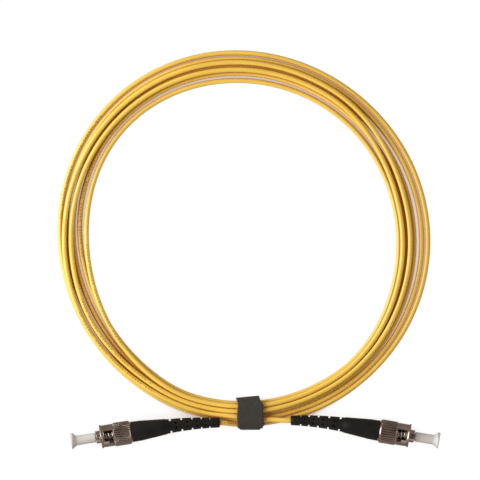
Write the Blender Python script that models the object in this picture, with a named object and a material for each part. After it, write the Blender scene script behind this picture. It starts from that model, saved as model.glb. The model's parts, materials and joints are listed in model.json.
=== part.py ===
"""Simplex ST to ST fibre optic patch cord, coiled and held with a hook-and-loop tie.

Built lying on a table: the table is z = 0, the coil lies in the XY plane, and
both connectors are on the -Y side.  Dimensions below are in millimetres and are
turned into metres when a mesh is made.
"""
import math

import bmesh
import bpy
from mathutils import Vector

MM = 0.001
SHARP_ANGLE = 50.0       # edges sharper than this stay crisp, degrees

# ---------------------------------------------------------------- placement
SHIFT_X = -2.007         # coil centre to the middle of the whole cord
SHIFT_Y = 4.737

# ---------------------------------------------------------------- cable
JACKET_R = 1.0           # 2.0 mm simplex cable
JACKET_BORE_SIDE = 0.66  # half width of the jacket bore, sideways
JACKET_BORE_UP = 0.80    # half height of the jacket bore
BUFFER_R = 0.45          # 0.9 mm tight buffer
BUFFER_BORE_R = 0.17
FIBER_R = 0.125 / 2 * 2  # coated glass, drawn at twice its radius so it can be seen

# ---------------------------------------------------------------- coil
TURNS = 7
OUTER_EDGE = (75.15, -1.06, -0.16, -0.12, -0.65, 0.40, 0.07)   # bundle's outer radius: mean,
INNER_EDGE = (63.25, -1.13, -1.80, -1.22, -1.12, -0.12, 0.67)   # then cos and sin of 1, 2 and 3 lobes
LANE_CHANGE = (0.60, 0.93)   # part of each turn over which the cable moves in one lane
CROSS_OUT = (15.0, 60.0)     # degrees over which the upper layer crosses outward
CROSS_BACK = (200.0, 245.0)  # and back again
TIE_ANGLE = 271.8        # where the tie sits, degrees counter-clockwise from +X
LANE_Z = 1.03            # axis height of the lower layer on the table
LAYER_RISE = 2.05        # upper layer above the lower one
LANE_PITCH = 2.05        # closest spacing of neighbouring turns
LANES = 5                # turns side by side on the table
SLACK_SHARE = (0.0, 0.12, 0.42, 0.72, 1.0)   # share of the bundle's slack outward of each lane
EXIT_SHIFT = 1.8         # the last turn moves outward this far under the tie
CRADLE_LIFT = 0.7        # the tie passes under the turns and lifts them
CRADLE_HALF = 13.0       # reach of that lift each side of the tie
RING_STEPS = 26          # free rings per turn, besides four near the tie
NEAR_TIE = (4.2, 11.0)   # rings either side of the tie, degrees

# ---------------------------------------------------------------- connectors
AXIS_Z = 4.80            # connectors rest on their coupling nuts
BOOT_LEN = 35.6
BOOT_STIFF = 14.0        # front of the boot that stays straight
BOOT_SHOULDER = 3.85
BOOT_R = 4.12
BOOT_TAIL_R = 1.92
LEFT = dict(name="left", side=-1, x=-45.24, y=-77.56, tilt=8.8, tail_tilt=-0.5, drop=0.90)
RIGHT = dict(name="right", side=1, x=53.79, y=-77.02, tilt=9.5, tail_tilt=0.0, drop=0.35)
FACETS = 24

KNURL_R = 4.75
KNURL_ROOT_R = 4.50
NUT_R = 4.42
LIP_R = 4.72
SPRING_R = 2.60
SPRING_WIRE_R = 0.23
SPRING_COILS = 5.5
FLANGE_U = 10.8          # rear face of the flange the spring pushes on
FERRULE_R = 1.25         # 2.5 mm ferrule
TIP_R = 2.48             # front of the barrel, round the ferrule
CAP_R = 1.95
CAP_FLARE_R = 3.20

# ---------------------------------------------------------------- tie
TIE_X0, TIE_X1 = -2.90, 7.50
TIE_OUTER = ((-76.20, 0.0), (-64.25, 0.0), (-64.25, 3.45), (-65.95, 5.55), (-73.20, 5.55), (-76.20, 3.80))
TIE_INNER = ((-75.60, 0.60), (-64.85, 0.60), (-64.85, 3.20), (-66.25, 4.95), (-73.00, 4.95), (-75.60, 3.45))
TIE_TOP = TIE_OUTER[3][1]
TIE_HINGE = (-76.22, 3.84)   # y and z of the edge the free end peels about
FLAP_T = 0.50
FLAP_GAP = 0.04          # between band, hook patch and free end
PATCH_T = 0.30

# ---------------------------------------------------------------- materials
COLOURS = {
    "jacket_yellow_pvc": ((0.86, 0.56, 0.10), 0.0, 0.42),
    "aramid_yarn": ((0.80, 0.62, 0.22), 0.0, 0.70),
    "buffer_white": ((0.82, 0.82, 0.78), 0.0, 0.45),
    "fiber_glass": ((0.75, 0.85, 0.92), 0.0, 0.08),
    "boot_black_rubber": ((0.012, 0.013, 0.014), 0.0, 0.55),
    "nickel_plated_brass": ((0.34, 0.31, 0.28), 1.0, 0.32),
    "crimp_copper_alloy": ((0.55, 0.42, 0.24), 1.0, 0.35),
    "spring_steel": ((0.45, 0.44, 0.42), 1.0, 0.28),
    "zirconia_ceramic": ((0.88, 0.88, 0.86), 0.0, 0.18),
    "cap_natural_plastic": ((0.62, 0.58, 0.56), 0.0, 0.40),
    "tie_loop_fabric": ((0.055, 0.055, 0.053), 0.0, 0.95),
    "tie_hook_nylon": ((0.030, 0.030, 0.032), 0.0, 0.80),
}


def clear_scene():
    for obj in list(bpy.data.objects):
        bpy.data.objects.remove(obj, do_unlink=True)


def material(name):
    mat = bpy.data.materials.get(name)
    if mat is None:
        colour, metallic, roughness = COLOURS[name]
        mat = bpy.data.materials.new(name)
        mat.use_nodes = True
        shader = mat.node_tree.nodes["Principled BSDF"]
        shader.inputs["Base Color"].default_value = (*colour, 1.0)
        shader.inputs["Metallic"].default_value = metallic
        shader.inputs["Roughness"].default_value = roughness
    return mat


def add_holder(name, x, y, z, heading=0.0):
    """Empty that carries a group of pieces, on the axis they move about."""
    holder = bpy.data.objects.new(name, None)
    holder.empty_display_size = 0.005
    holder.location = ((x + SHIFT_X) * MM, (y + SHIFT_Y) * MM, z * MM)
    holder.rotation_euler = (0.0, 0.0, heading)
    bpy.context.scene.collection.objects.link(holder)
    return holder


def add_part(name, verts, faces, mat, holder=None):
    """One closed body from points in millimetres about the coil centre."""
    mesh = bpy.data.meshes.new(name)
    moved = [Vector((x + SHIFT_X, y + SHIFT_Y, z)) * MM for x, y, z in verts]
    if holder:
        inverse = holder.matrix_basis.inverted()
        moved = [inverse @ v for v in moved]
    mesh.from_pydata(moved, [], faces)
    bm = bmesh.new()
    bm.from_mesh(mesh)
    loose = [v for v in bm.verts if not v.link_faces]
    bmesh.ops.delete(bm, geom=loose, context="VERTS")
    bmesh.ops.recalc_face_normals(bm, faces=bm.faces)
    bm.to_mesh(mesh)
    bm.free()
    mesh.materials.append(material(mat))
    mesh.shade_smooth()
    mesh.set_sharp_from_angle(angle=math.radians(SHARP_ANGLE))
    obj = bpy.data.objects.new(name, mesh)
    obj.parent = holder
    bpy.context.scene.collection.objects.link(obj)
    return obj


# ---------------------------------------------------------------- coil path
def wave(theta, lobes):
    """Radius of a hand-wound coil, which is never a perfect circle."""
    mean, *rest = lobes
    return mean + sum(rest[2 * k] * math.cos((k + 1) * theta) + rest[2 * k + 1] * math.sin((k + 1) * theta)
                      for k in range(len(rest) // 2))


def lane_depth(theta, lane):
    """Distance inward from the outermost turn to a lane, which may lie between two turns."""
    width = wave(theta, OUTER_EDGE) - wave(theta, INNER_EDGE) - 2.0 * JACKET_R
    slack = max(0.0, width - (LANES - 1) * LANE_PITCH)
    low = min(int(lane), LANES - 2)
    share = SLACK_SHARE[low] + (SLACK_SHARE[low + 1] - SLACK_SHARE[low]) * (lane - low)
    return LANE_PITCH * lane + slack * share


def ease(x, low, high):
    t = min(max((x - low) / (high - low), 0.0), 1.0)
    return t * t * (3.0 - 2.0 * t)


def cradle(theta):
    reach = 75.0 * abs(math.atan2(math.sin(theta - math.radians(TIE_ANGLE)),
                                  math.cos(theta - math.radians(TIE_ANGLE))))
    return CRADLE_LIFT * math.exp(-((reach / CRADLE_HALF) ** 4))


def sway(theta):
    """Outward shift of the upper layer, in lanes, which makes the turns cross."""
    degrees = math.degrees(theta) % 360.0
    return ease(degrees, *CROSS_OUT) - ease(degrees, *CROSS_BACK)


def coil_point(turn):
    """Centre of the cable after a number of turns, counted from the first pass of the tie.

    Passes 0 to 4 lie side by side on the table, each one lane further in.  The
    fifth turn rolls over the inner edge and the rest come back on top.
    """
    theta = math.radians(TIE_ANGLE) + 2.0 * math.pi * turn
    half = LAYER_RISE / 2.0
    edge = LANES - 1.0
    lap = math.floor(turn)
    lane = lap + ease(turn - lap, *LANE_CHANGE)
    lift = 0.0
    if lane <= edge:
        inward = lane_depth(theta, lane)
    elif lap < LANES:
        inner, back = lane_depth(theta, edge), lane_depth(theta, edge - 0.5)
        way = (lane - edge) * (math.pi * half + inner - back)
        if way < math.pi * half:
            angle = way / half
            inward = inner + half * math.sin(angle)
            lift = half * (1.0 - math.cos(angle))
        else:
            inward = inner - (way - math.pi * half)
            lift = LAYER_RISE
    else:
        inward = lane_depth(theta, edge - 0.5 - (lane - LANES) - sway(theta))
        lift = LAYER_RISE
        near = NEAR_TIE[0] / 360.0
        inward -= EXIT_SHIFT * ease(turn, TURNS - near, TURNS + near)
    radius = wave(theta, OUTER_EDGE) - JACKET_R - inward
    return Vector((radius * math.cos(theta), radius * math.sin(theta), LANE_Z + cradle(theta) + lift))


def ring_turns():
    """Where along the coil the cable's cross-sections sit, in turns."""
    near, far = (a / 360.0 for a in NEAR_TIE)
    free = [far + (1.0 - 2.0 * far) * k / RING_STEPS for k in range(RING_STEPS + 1)]
    stops = []
    for lap in range(TURNS):
        stops += [lap + near] + [lap + f for f in free] + [lap + 1.0 - near]
    return [-near] + stops + [TURNS + near]


# ---------------------------------------------------------------- connector axis
def axis_frame(conn, u):
    """Point and directions on a connector's axis.

    u is measured outward from the front of the boot; behind the stiff part of
    the boot (u below -14) the axis bends towards the coil.
    """
    side = conn["side"]
    tilt = math.radians(conn["tilt"])
    point = Vector((conn["x"], conn["y"], AXIS_Z))
    ahead = Vector((side * math.cos(tilt), -math.sin(tilt), 0.0))
    if u >= -BOOT_STIFF:
        return frame_at(point + ahead * u, ahead)
    point = point - ahead * BOOT_STIFF
    bend_len = BOOT_LEN - BOOT_STIFF
    run = -BOOT_STIFF - u
    steps = 40
    pitch_end = 2.0 * conn["drop"] / bend_len
    turn_end = math.radians(conn["tail_tilt"]) - tilt
    ds = run / steps
    for k in range(steps):
        part = min((k + 0.5) * ds / bend_len, 1.0)
        a = tilt + turn_end * part
        p = pitch_end * part
        point = point - outward(side, a, p) * ds
    part = min(run / bend_len, 1.0)
    return frame_at(point, outward(side, tilt + turn_end * part, pitch_end * part))


def outward(side, turn, pitch):
    """Unit vector pointing away from the coil, turned towards -Y and pitched up."""
    return Vector((side * math.cos(turn) * math.cos(pitch), -math.sin(turn) * math.cos(pitch), math.sin(pitch)))


def frame_at(point, ahead):
    ahead = ahead.normalized()
    across = Vector((0.0, 0.0, 1.0)).cross(ahead).normalized()
    up = ahead.cross(across)
    return point, ahead, across, up


def on_axis(conn, u, r, phi):
    point, _, across, up = axis_frame(conn, u)
    return point + across * (r * math.cos(phi)) + up * (r * math.sin(phi))


# ---------------------------------------------------------------- solids
def shell(conn, outer, inner, keep=None, skew=None, ridge=None, facets=FACETS):
    """Turned wall about a connector axis, from matching outer and inner stations.

    keep(i, j) drops cells to cut slots, skew(i) turns a station about the axis
    and ridge(i, j) adds to an outer radius.
    """
    n = len(outer) - 1
    verts, faces = [], []
    for stations, is_outer in ((outer, True), (inner, False)):
        for i, (u, r) in enumerate(stations):
            twist = skew(i) if skew else 0.0
            for j in range(facets):
                extra = ridge(i, j) if ridge and is_outer else 0.0
                verts.append(on_axis(conn, u, r + extra, 2.0 * math.pi * j / facets + twist))

    def o(i, j):
        return i * facets + j % facets

    def k(i, j):
        return (n + 1 + i) * facets + j % facets

    def kept(i, j):
        return 0 <= i < n and (keep is None or keep(i, j % facets))

    for i in range(n):
        for j in range(facets):
            if not kept(i, j):
                continue
            faces.append((o(i, j), o(i, j + 1), o(i + 1, j + 1), o(i + 1, j)))
            faces.append((k(i, j), k(i + 1, j), k(i + 1, j + 1), k(i, j + 1)))
            if not kept(i - 1, j):
                faces.append((o(i, j), k(i, j), k(i, j + 1), o(i, j + 1)))
            if not kept(i + 1, j):
                faces.append((o(i + 1, j), o(i + 1, j + 1), k(i + 1, j + 1), k(i + 1, j)))
            if not kept(i, j - 1):
                faces.append((o(i, j), o(i + 1, j), k(i + 1, j), k(i, j)))
            if not kept(i, j + 1):
                faces.append((o(i, j + 1), k(i, j + 1), k(i + 1, j + 1), o(i + 1, j + 1)))
    return verts, faces


def capped(conn, profile, facets=FACETS):
    """Turned solid whose profile starts and ends on the axis."""
    (u0, _), *rim, (u1, _) = profile
    verts = [on_axis(conn, u0, 0.0, 0.0), on_axis(conn, u1, 0.0, 0.0)]
    for u, r in rim:
        verts += [on_axis(conn, u, r, 2.0 * math.pi * j / facets) for j in range(facets)]
    faces = []
    last = 2 + (len(rim) - 1) * facets
    for j in range(facets):
        a, b = j, (j + 1) % facets
        faces.append((0, 2 + b, 2 + a))
        faces.append((1, last + a, last + b))
        for i in range(len(rim) - 1):
            p, q = 2 + i * facets, 2 + (i + 1) * facets
            faces.append((p + a, p + b, q + b, q + a))
    return verts, faces


def tube(rings, outer, inner=None):
    """Sweep an outline along (point, direction) stops, with an optional bore.

    Outlines are lists of (sideways, up) offsets.
    """
    verts, faces = [], []
    outlines = [outer] + ([inner] if inner else [])
    starts = []
    for outline in outlines:
        starts.append(len(verts))
        for point, ahead in rings:
            _, _, across, up = frame_at(point, ahead)
            verts += [point + across * a + up * b for a, b in outline]
    for start, outline, flip in zip(starts, outlines, (False, True)):
        m = len(outline)
        for i in range(len(rings) - 1):
            for j in range(m):
                a, b = start + i * m + j, start + i * m + (j + 1) % m
                quad = (a, b, b + m, a + m)
                faces.append(quad[::-1] if flip else quad)
    ends = ((0, False), (len(rings) - 1, True))
    for i, flip in ends:
        if not inner:
            m = len(outer)
            cap = [i * m + j for j in range(m)]
            faces.append(tuple(cap if flip else cap[::-1]))
        else:
            ring = annulus(outer, inner, starts[0] + i * len(outer), starts[1] + i * len(inner))
            faces += [f if flip else f[::-1] for f in ring]
    return verts, faces


def annulus(outer, inner, at_outer, at_inner):
    """Triangles between two outlines with different numbers of corners."""
    def angle(p):
        return math.atan2(p[1], p[0]) % (2.0 * math.pi)

    m, n = len(outer), len(inner)
    first = min(range(n), key=lambda j: abs(math.remainder(angle(inner[j]) - angle(outer[0]), 2.0 * math.pi)))
    faces = []
    i, j = 0, 0
    while i < m or j < n:
        nxt_o = angle(outer[0]) + sum(
            step(angle(outer[a % m]), angle(outer[(a + 1) % m])) for a in range(i + 1))
        nxt_i = angle(outer[0]) + math.remainder(angle(inner[first]) - angle(outer[0]), 2.0 * math.pi) + sum(
            step(angle(inner[(first + a) % n]), angle(inner[(first + a + 1) % n])) for a in range(j + 1))
        if j >= n or (i < m and nxt_o <= nxt_i):
            faces.append((at_outer + i % m, at_outer + (i + 1) % m, at_inner + (first + j) % n))
            i += 1
        else:
            faces.append((at_outer + i % m, at_inner + (first + j + 1) % n, at_inner + (first + j) % n))
            j += 1
    return faces


def step(a, b):
    return (b - a) % (2.0 * math.pi)


def polygon(r, sides, start=0.0):
    return [(r * math.cos(start + 2.0 * math.pi * k / sides), r * math.sin(start + 2.0 * math.pi * k / sides))
            for k in range(sides)]


# ---------------------------------------------------------------- cable
def lead(start, start_dir, end, end_dir, pull, parts):
    """Smooth run between the coil and a boot, without its end points."""
    out = []
    for k in range(1, parts):
        t = k / parts
        h00, h10 = 2 * t**3 - 3 * t**2 + 1, t**3 - 2 * t**2 + t
        h01, h11 = -2 * t**3 + 3 * t**2, t**3 - t**2
        out.append(start * h00 + start_dir * (pull * h10) + end * h01 + end_dir * (pull * h11))
    return out


def boot_stops(jacket_end):
    """Stations through the boot, from its tail to where the cable layer ends."""
    return [-BOOT_LEN - 0.8, -BOOT_LEN, -30.0, -24.6, -19.2, -BOOT_STIFF, jacket_end]


def cable_rings(left_end, right_end, left_extra=(), right_extra=()):
    """Stops of a cable layer from one connector to the other."""
    turns = ring_turns()
    coil = [coil_point(t) for t in turns]
    left = [axis_frame(LEFT, u)[0] for u in boot_stops(left_end)][::-1]
    right = [axis_frame(RIGHT, u)[0] for u in boot_stops(right_end)]
    into = -axis_frame(LEFT, -BOOT_LEN)[1]
    away = axis_frame(RIGHT, -BOOT_LEN)[1]
    first = (coil[1] - coil[0]).normalized()
    last = (coil_point(turns[-1] + 0.001) - coil[-1]).normalized()
    lead_in = lead(left[-1], into, coil[0], first, (coil[0] - left[-1]).length, 4)
    lead_out = lead(coil[-1], last, right[0], away, (right[0] - coil[-1]).length, 5)
    points = list(left_extra) + left + lead_in + coil + lead_out + right + list(right_extra)
    rings = []
    for i, point in enumerate(points):
        before = points[max(i - 1, 0)]
        after = points[min(i + 1, len(points) - 1)]
        # an end point has no neighbour on one side, and a zero vector stays zero
        ahead = (point - before).normalized() + (after - point).normalized()
        rings.append((point, ahead.normalized()))
    return rings


def build_cable():
    bore = [(JACKET_BORE_SIDE, 0.0), (0.0, JACKET_BORE_UP), (-JACKET_BORE_SIDE, 0.0), (0.0, -JACKET_BORE_UP)]
    verts, faces = tube(cable_rings(-8.6, -8.6), polygon(JACKET_R, 6, math.pi / 6.0), bore)
    add_part("cable_jacket", verts, faces, "jacket_yellow_pvc")

    # the yarn lies on top of the buffer and lifts over the crimp stem at each end
    rings = cable_rings(-8.5, -8.5)
    lifted = [(-7.7, 1.24), (-2.6, 1.24)]
    head = [(axis_frame(LEFT, u)[0] + Vector((0, 0, dz)), -axis_frame(LEFT, u)[1]) for u, dz in lifted[::-1]]
    tail = [(axis_frame(RIGHT, u)[0] + Vector((0, 0, dz)), axis_frame(RIGHT, u)[1]) for u, dz in lifted]
    verts, faces = tube(head + rings + tail, [(0.22, 0.41), (0.0, 0.70), (-0.22, 0.41)])
    add_part("aramid_yarn", verts, faces, "aramid_yarn")

    verts, faces = tube(cable_rings(8.0, 8.0), polygon(BUFFER_R, 4, math.pi / 4.0),
                        polygon(BUFFER_BORE_R, 3, math.pi / 2.0))
    add_part("tight_buffer", verts, faces, "buffer_white")

    verts, faces = tube(cable_rings(19.05, 19.05), polygon(FIBER_R, 3, math.pi / 2.0))
    add_part("optical_fiber", verts, faces, "fiber_glass")


# ---------------------------------------------------------------- connector pieces
def boot_profile(u):
    """Outer radius: nearly straight in front, a cone, then a slimmer slotted tail."""
    if u > -BOOT_SHOULDER:
        return BOOT_R - 0.10 * -u / BOOT_SHOULDER
    if u > -BOOT_STIFF:
        return BOOT_R - 0.10 - 0.90 * (-u - BOOT_SHOULDER) / (BOOT_STIFF - BOOT_SHOULDER)
    return 3.0 + (BOOT_TAIL_R - 3.0) * (-BOOT_STIFF - u) / (BOOT_LEN - BOOT_STIFF)


def build_boot(conn):
    """Strain-relief boot: stiff cone in front, slotted tail behind."""
    gaps = [-15.9, -18.1, -20.4, -22.6, -24.6, -26.5, -28.3, -30.0, -31.6, -33.2]
    half = [0.52 - 0.015 * k for k in range(len(gaps))]
    stations = [0.0, -BOOT_SHOULDER, -8.3, -8.9, -BOOT_STIFF]
    cuts = {}
    for k, (mid, h) in enumerate(zip(gaps, half)):
        cuts[len(stations)] = k
        stations += [mid + h, mid - h]
    stations.append(-BOOT_LEN)
    facets = 12

    def keep(i, j):
        if i not in cuts:
            return True
        # wide windows at both sides, and narrow ones above and below at every second slot
        if cuts[i] % 2 == 0:
            return j % 6 in (0, 5)
        return j % 6 not in (0, 5)

    outer = [(u, boot_profile(u) - (0.12 if i == 0 else 0.0)) for i, u in enumerate(stations)]
    inner = [(u, 2.62 if u > -8.5 else (1.9 if u > -8.95 else 1.28)) for u in stations]
    inner[3] = (-8.9, 1.28)
    verts, faces = shell(conn, outer, inner, keep=keep, skew=lambda i: -math.pi / 2.0, facets=facets)
    add_part(conn["name"] + "_strain_relief_boot", verts, faces, "boot_black_rubber", conn["holder"])


def build_barrel(conn):
    outer = [(-7.6, 1.55), (-0.2, 1.55), (0.0, 2.08), (0.5, 2.08), (0.5, 1.75), (1.25, 1.75), (1.25, 2.08),
             (FLANGE_U, 2.08), (FLANGE_U, 2.95), (FLANGE_U + 0.8, 2.95), (FLANGE_U + 0.8, TIP_R),
             (14.1, TIP_R), (14.3, 2.3)]
    inner = [(-7.6, 0.64), (-4.0, 0.64), (-2.0, 0.64), (0.0, 0.64), (2.0, 0.64), (4.0, 0.64), (6.0, 0.64),
             (8.4, 0.64), (8.4, 1.28), (9.5, 1.28), (10.4, 1.28), (10.6, 1.95), (14.3, 1.95)]
    verts, faces = shell(conn, outer, inner, facets=16)
    barrel = add_part(conn["name"] + "_connector_barrel", verts, faces, "nickel_plated_brass", conn["holder"])

    # alignment key, on the side away from the table
    block, quads = [], []
    for u in (12.0, 13.9):
        point, _, across, up = axis_frame(conn, u)
        for a, b in ((-0.55, 2.15), (0.55, 2.15), (0.55, 3.10), (-0.55, 3.10)):
            block.append(point + across * a + up * b)
    quads = [(0, 3, 2, 1), (4, 5, 6, 7), (0, 1, 5, 4), (1, 2, 6, 5), (2, 3, 7, 6), (3, 0, 4, 7)]
    key = add_part("key_block", block, quads, "nickel_plated_brass", conn["holder"])
    join = barrel.modifiers.new("key", "BOOLEAN")
    join.operation = "UNION"
    join.solver = "EXACT"
    join.object = key
    solid = bpy.data.meshes.new_from_object(barrel.evaluated_get(bpy.context.evaluated_depsgraph_get()))
    barrel.modifiers.clear()
    barrel.data = solid
    bpy.data.objects.remove(key, do_unlink=True)


def build_nut(conn):
    """Bayonet coupling nut: knurled grip behind, two stepped bayonet slots in front."""
    outer = [(0.3, 4.30), (0.5, KNURL_ROOT_R), (6.9, KNURL_ROOT_R), (7.0, NUT_R), (7.1, NUT_R), (7.3, NUT_R),
             (9.2, NUT_R), (11.0, NUT_R), (11.3, NUT_R), (12.0, LIP_R), (12.4, LIP_R)]
    inner = [(0.3, 3.25), (1.35, 3.25), (1.35, 2.30), (2.2, 2.30), (2.2, 3.25), (7.3, 3.45),
             (9.2, 3.60), (11.0, 3.60), (11.5, 3.60), (12.0, 3.65), (12.4, 3.80)]
    # the slots are centred over and under the axis; their step points away from the coil
    low = 3 if conn["side"] < 0 else 4
    rear = range(low, low + 5)
    front = range(4, 8)

    def keep(i, j):
        return not (i == 5 and j % 12 in rear or i == 6 and j % 12 in front)

    def ridge(i, j):
        return KNURL_R - KNURL_ROOT_R if i in (1, 2) and j % 2 == 0 else 0.0

    verts, faces = shell(conn, outer, inner, keep=keep, ridge=ridge)
    add_part(conn["name"] + "_coupling_nut", verts, faces, "nickel_plated_brass", conn["holder"])


def build_spring(conn):
    steps = int(8 * SPRING_COILS)
    u0, u1 = 2.80 + SPRING_WIRE_R, FLANGE_U - 0.06 - SPRING_WIRE_R
    rings = []
    for k in range(steps + 1):
        t = k / steps
        a = 2.0 * math.pi * SPRING_COILS * t
        rings.append(on_axis(conn, u0 + (u1 - u0) * t, SPRING_R, a))
    point, ahead, across, up = axis_frame(conn, 0.0)
    verts, faces = [], []
    sides = 4
    for k, centre in enumerate(rings):
        a = 2.0 * math.pi * SPRING_COILS * k / steps
        out = across * math.cos(a) + up * math.sin(a)
        for m in range(sides):
            b = 2.0 * math.pi * (m + 0.5) / sides
            verts.append(centre + out * (SPRING_WIRE_R * math.cos(b)) + ahead * (SPRING_WIRE_R * math.sin(b)))
    for k in range(steps):
        for m in range(sides):
            a, b = k * sides + m, k * sides + (m + 1) % sides
            faces.append((a, b, b + sides, a + sides))
    faces.append(tuple(range(sides))[::-1])
    faces.append(tuple(steps * sides + m for m in range(sides)))
    add_part(conn["name"] + "_coupling_spring", verts, faces, "spring_steel", conn["holder"])


def build_connector(conn):
    name = conn["name"]
    along = outward(conn["side"], math.radians(conn["tilt"]), 0.0)
    heading = math.atan2(along.y, along.x)
    conn["holder"] = add_holder(name + "_axis", conn["x"], conn["y"], AXIS_Z, heading)
    bpy.context.view_layer.update()
    build_boot(conn)
    build_barrel(conn)
    build_nut(conn)
    build_spring(conn)

    verts, faces = shell(conn, [(-7.2, 2.45), (-0.4, 2.45)], [(-7.2, 2.10), (-0.4, 2.10)], facets=16)
    add_part(name + "_crimp_sleeve", verts, faces, "crimp_copper_alloy", conn["holder"])

    verts, faces = shell(conn, [(0.58, 2.90), (1.17, 2.90)], [(0.58, 1.85), (1.17, 1.85)],
                         keep=lambda i, j: j not in (3, 4), facets=16)
    add_part(name + "_retaining_ring", verts, faces, "spring_steel", conn["holder"])

    verts, faces = shell(conn, [(2.26, 3.05), (2.70, 3.05)], [(2.26, 2.28), (2.70, 2.28)], facets=16)
    add_part(name + "_thrust_washer", verts, faces, "spring_steel", conn["holder"])

    verts, faces = shell(conn, [(8.6, FERRULE_R), (13.0, FERRULE_R), (18.6, FERRULE_R), (19.1, 1.0)],
                         [(8.6, 0.55), (9.4, 0.20), (15.0, 0.20), (19.1, 0.20)], facets=16)
    add_part(name + "_ferrule", verts, faces, "zirconia_ceramic", conn["holder"])

    verts, faces = capped(conn, [(24.4, 0.0), (24.4, CAP_FLARE_R), (23.7, CAP_FLARE_R), (22.2, CAP_R),
                                 (14.9, CAP_R), (14.5, 1.82), (14.5, 1.34), (21.9, 1.34), (21.9, 0.0)], facets=16)
    add_part(name + "_dust_cap", verts, faces, "cap_natural_plastic", conn["holder"])


# ---------------------------------------------------------------- tie
def prism(outline, x0, x1, name, mat, holder, slant=None):
    """Solid with the same (y, z) outline at every x; slant(end, y) moves the x of a corner."""
    m = len(outline)
    verts = []
    for end, x in enumerate((x0, x1)):
        verts += [(x + (slant(end, y) if slant else 0.0), y, z) for y, z in outline]
    faces = [tuple(range(m)), tuple(range(m, 2 * m))[::-1]]
    for j in range(m):
        a, b = j, (j + 1) % m
        faces.append((a, a + m, b + m, b))
    add_part(name, verts, faces, mat, holder)


def build_tie():
    # closed band round the bundle
    m = len(TIE_OUTER)
    verts = []
    for x in (TIE_X0, TIE_X1):
        verts += [(x, y, z) for y, z in TIE_OUTER] + [(x, y, z) for y, z in TIE_INNER]
    faces = []
    for j in range(m):
        a, b = j, (j + 1) % m
        faces += [(a, b, 2 * m + b, 2 * m + a), (m + a, 3 * m + a, 3 * m + b, m + b),
                  (a, m + a, m + b, b), (2 * m + a, 2 * m + b, 3 * m + b, 3 * m + a)]
    add_part("tie_band", verts, faces, "tie_loop_fabric")

    # free end lying over the top of the band, with its tab past the inner edge
    top = TIE_TOP + PATCH_T + 2.0 * FLAP_GAP
    lower = [(-76.24, 3.86), (-73.30, top), (-65.95, top), (-63.75, top - 0.50)]
    upper = [(-63.55, top - 0.50 + FLAP_T), (-65.75, top + FLAP_T), (-73.55, top + FLAP_T), (-76.55, 4.28)]

    def slant(end, y):
        if end == 0:
            return -0.6 * (y + 76.55) / 13.0
        return -2.2 * max(0.0, (y + 66.0) / 2.45)

    hinge = add_holder("tie_peel_axis", (TIE_X0 + TIE_X1) / 2.0, TIE_HINGE[0], TIE_HINGE[1])
    prism(lower + upper, TIE_X0, TIE_X1 - 0.05, "tie_flap", "tie_loop_fabric", hinge, slant)

    under = TIE_TOP + FLAP_GAP
    patch = [(-72.2, under), (-66.1, under), (-66.1, under + PATCH_T), (-72.2, under + PATCH_T)]
    prism(patch, TIE_X0 + 0.3, TIE_X1 - 0.6, "tie_hook_patch", "tie_hook_nylon", hinge)


clear_scene()
build_cable()
for connector in (LEFT, RIGHT):
    build_connector(connector)
build_tie()
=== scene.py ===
"""Looks for the coiled fibre patch cord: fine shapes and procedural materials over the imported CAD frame.

Blender's own values are in metres.  Profiles and other drawn shapes are in millimetres: u is a
distance along a connector's axis, outward from the front of its boot, and r is a radius.
"""
import json
import math

import bmesh
import bpy
import numpy as np
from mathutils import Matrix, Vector


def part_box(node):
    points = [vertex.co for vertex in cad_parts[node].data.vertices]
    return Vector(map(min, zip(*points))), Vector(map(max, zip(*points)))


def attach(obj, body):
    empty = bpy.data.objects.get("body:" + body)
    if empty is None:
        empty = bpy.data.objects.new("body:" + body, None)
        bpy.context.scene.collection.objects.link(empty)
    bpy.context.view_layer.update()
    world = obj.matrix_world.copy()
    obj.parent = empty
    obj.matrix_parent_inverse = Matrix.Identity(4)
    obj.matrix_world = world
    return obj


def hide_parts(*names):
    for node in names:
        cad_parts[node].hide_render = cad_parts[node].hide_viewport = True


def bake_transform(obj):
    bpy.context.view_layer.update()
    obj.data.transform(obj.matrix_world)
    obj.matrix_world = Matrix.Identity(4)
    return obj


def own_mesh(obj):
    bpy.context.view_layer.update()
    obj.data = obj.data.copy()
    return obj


MM = 0.001
SIDES = ("left", "right")
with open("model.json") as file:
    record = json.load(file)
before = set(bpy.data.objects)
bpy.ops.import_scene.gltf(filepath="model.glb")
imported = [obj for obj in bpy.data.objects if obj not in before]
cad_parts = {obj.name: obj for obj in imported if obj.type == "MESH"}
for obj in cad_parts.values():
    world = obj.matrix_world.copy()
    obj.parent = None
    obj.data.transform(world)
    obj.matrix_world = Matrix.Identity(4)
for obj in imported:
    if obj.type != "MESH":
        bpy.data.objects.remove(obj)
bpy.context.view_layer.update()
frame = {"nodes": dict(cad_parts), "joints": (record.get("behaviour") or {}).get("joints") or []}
JOINTS = {j["name"]: j for j in frame["joints"]}

# ---------------------------------------------------------------- sizes, in millimetres
FIBER_TIP_U = 19.05      # where the glass ends, at the ferrule's face
JACKET_END_U = -8.6
YARN_REACH = 6.0         # how far the yarn runs past the jacket's end, over the crimp stem
BUFFER_REACH = 16.4      # how far the buffer runs past it, into the barrel
BOOT_STIFF = 14.0        # length of the boot's unslotted front
BOOT_LEN = 35.6
BOOT_SLOTS = (-15.9, -18.1, -20.4, -22.6, -24.6, -26.5, -28.3, -30.0, -31.6, -33.2)
FLANGE_U = 10.8          # back of the barrel's flange, where the spring ends
SPRING_BACK_U = 2.80
SPRING_FRONT_U = FLANGE_U - 0.06
BARREL_R = 2.08
TIP_R = 2.48             # front of the barrel
CAP_R = 1.95
CAP_FLARE_R = 3.2

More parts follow.
